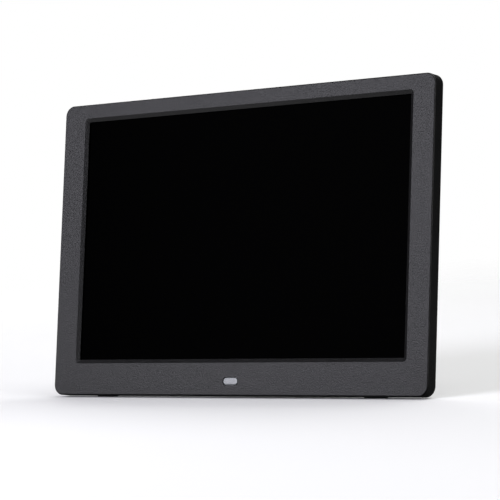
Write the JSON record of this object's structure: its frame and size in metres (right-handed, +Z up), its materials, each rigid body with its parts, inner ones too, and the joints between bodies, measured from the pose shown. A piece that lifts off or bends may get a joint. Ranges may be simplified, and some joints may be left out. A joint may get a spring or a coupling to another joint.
{
  "type": "digital photo frame",
  "caption": "Tabletop digital photo frame with a flat dark bezel, black display, rear hump with ports and keys, and a fold-out leg.",
  "frame": {"origin": "on the table, under the middle of the whole object with its leg out", "axes": "+Z up, +X along the frame's width to the viewer's right, the display faces -Y and leans back 10 degrees"},
  "size_m": [0.25, 0.083, 0.1649],
  "materials": {
    "bezel_plastic": "fine matt texture",
    "cover_plastic": "fine spark-eroded texture",
    "button_plastic": "satin",
    "switch_plastic": "satin",
    "foam": "closed-cell foam",
    "display_glass": "anti-glare polariser on glass, unlit",
    "acrylic": "clear with white backing",
    "sheet_steel": "tin-plated",
    "screw_steel": "black oxide",
    "flat_cable": "polyimide film",
    "circuit_board": "green solder mask",
    "chip_plastic": "moulded epoxy",
    "heatsink_aluminium": "extruded",
    "capacitor_can": "can with vent",
    "socket_plastic": "moulded nylon",
    "plated_brass": "nickel-plated",
    "eye_silver": "silver-pigmented, satin",
    "led_lens": "clear epoxy",
    "paper_cone": "pressed paper",
    "foot_rubber": "moulded rubber"
  },
  "bodies": {
    "housing": {"audio_jack": "socket_plastic", "board_cable": "flat_cable", "board_screws": "screw_steel", "bracket_screws": "screw_steel", "capacitors": "capacitor_can", "card_slot": "sheet_steel", "cell_holder": "socket_plastic", "coin_cell": "sheet_steel", "dc_jack": "socket_plastic", "dc_pin": "plated_brass", "display_board": "circuit_board", "display_chip": "chip_plastic", "display_gasket": "foam", "front_bezel": "bezel_plastic", "heatsink": "heatsink_aluminium", "hinge_pin": "screw_steel", "hinge_washers": "sheet_steel", "housing_screws": "screw_steel", "ir_receiver": "chip_plastic", "keypad_board": "circuit_board", "keypad_cable": "flat_cable", "lcd_brackets": "sheet_steel", "lcd_flex": "flat_cable", "lcd_panel": "display_glass", "lcd_tray": "sheet_steel", "light_guide": "acrylic", "main_board": "circuit_board", "memory_chips": "chip_plastic", "pin_clips": "sheet_steel", "processor": "chip_plastic", "rear_cover": "cover_plastic", "rubber_feet": "foot_rubber", "sensor_board": "circuit_board", "sensor_window": "eye_silver", "speaker_cones": "paper_cone", "speaker_frames": "sheet_steel", "speaker_magnets": "sheet_steel", "status_led": "led_lens", "tact_switches": "socket_plastic", "usb_port": "sheet_steel", "usb_tongue": "socket_plastic"},
    "stand": {"stand_leg": "cover_plastic", "leg_pad": "foot_rubber"},
    "power_key": {"power_button": "button_plastic", "power_plunger": "switch_plastic"},
    "menu_key": {"menu_button": "button_plastic", "menu_plunger": "switch_plastic"},
    "left_key": {"left_button": "button_plastic", "left_plunger": "switch_plastic"},
    "enter_key": {"enter_button": "button_plastic", "enter_plunger": "switch_plastic"},
    "right_key": {"right_button": "button_plastic", "right_plunger": "switch_plastic"},
    "up_key": {"up_button": "button_plastic", "up_plunger": "switch_plastic"},
    "down_key": {"down_button": "button_plastic", "down_plunger": "switch_plastic"}
  },
  "joints": [
    {"name": "stand_hinge", "type": "hinge", "parent": "housing", "child": "stand", "pos_m": [0, -0.01927, 0.03514], "axis": [1, 0, 0], "range_deg": [0, 110]},
    {"name": "power_press", "type": "slide", "parent": "housing", "child": "power_key", "axis": [0, -0.9848, 0.1736], "range_m": [0, 0.0004], "stiffness_N_per_m": 2500, "springref_m": -0.0001},
    {"name": "menu_press", "type": "slide", "parent": "housing", "child": "menu_key", "axis": [0, -0.9848, 0.1736], "range_m": [0, 0.0004], "stiffness_N_per_m": 2500, "springref_m": -0.0001},
    {"name": "left_press", "type": "slide", "parent": "housing", "child": "left_key", "axis": [0, -0.9848, 0.1736], "range_m": [0, 0.0004], "stiffness_N_per_m": 2500, "springref_m": -0.0001},
    {"name": "enter_press", "type": "slide", "parent": "housing", "child": "enter_key", "axis": [0, -0.9848, 0.1736], "range_m": [0, 0.0004], "stiffness_N_per_m": 2500, "springref_m": -0.0001},
    {"name": "right_press", "type": "slide", "parent": "housing", "child": "right_key", "axis": [0, -0.9848, 0.1736], "range_m": [0, 0.0004], "stiffness_N_per_m": 2500, "springref_m": -0.0001},
    {"name": "up_press", "type": "slide", "parent": "housing", "child": "up_key", "axis": [0, -0.9848, 0.1736], "range_m": [0, 0.0004], "stiffness_N_per_m": 2500, "springref_m": -0.0001},
    {"name": "down_press", "type": "slide", "parent": "housing", "child": "down_key", "axis": [0, -0.9848, 0.1736], "range_m": [0, 0.0004], "stiffness_N_per_m": 2500, "springref_m": -0.0001}
  ]
}
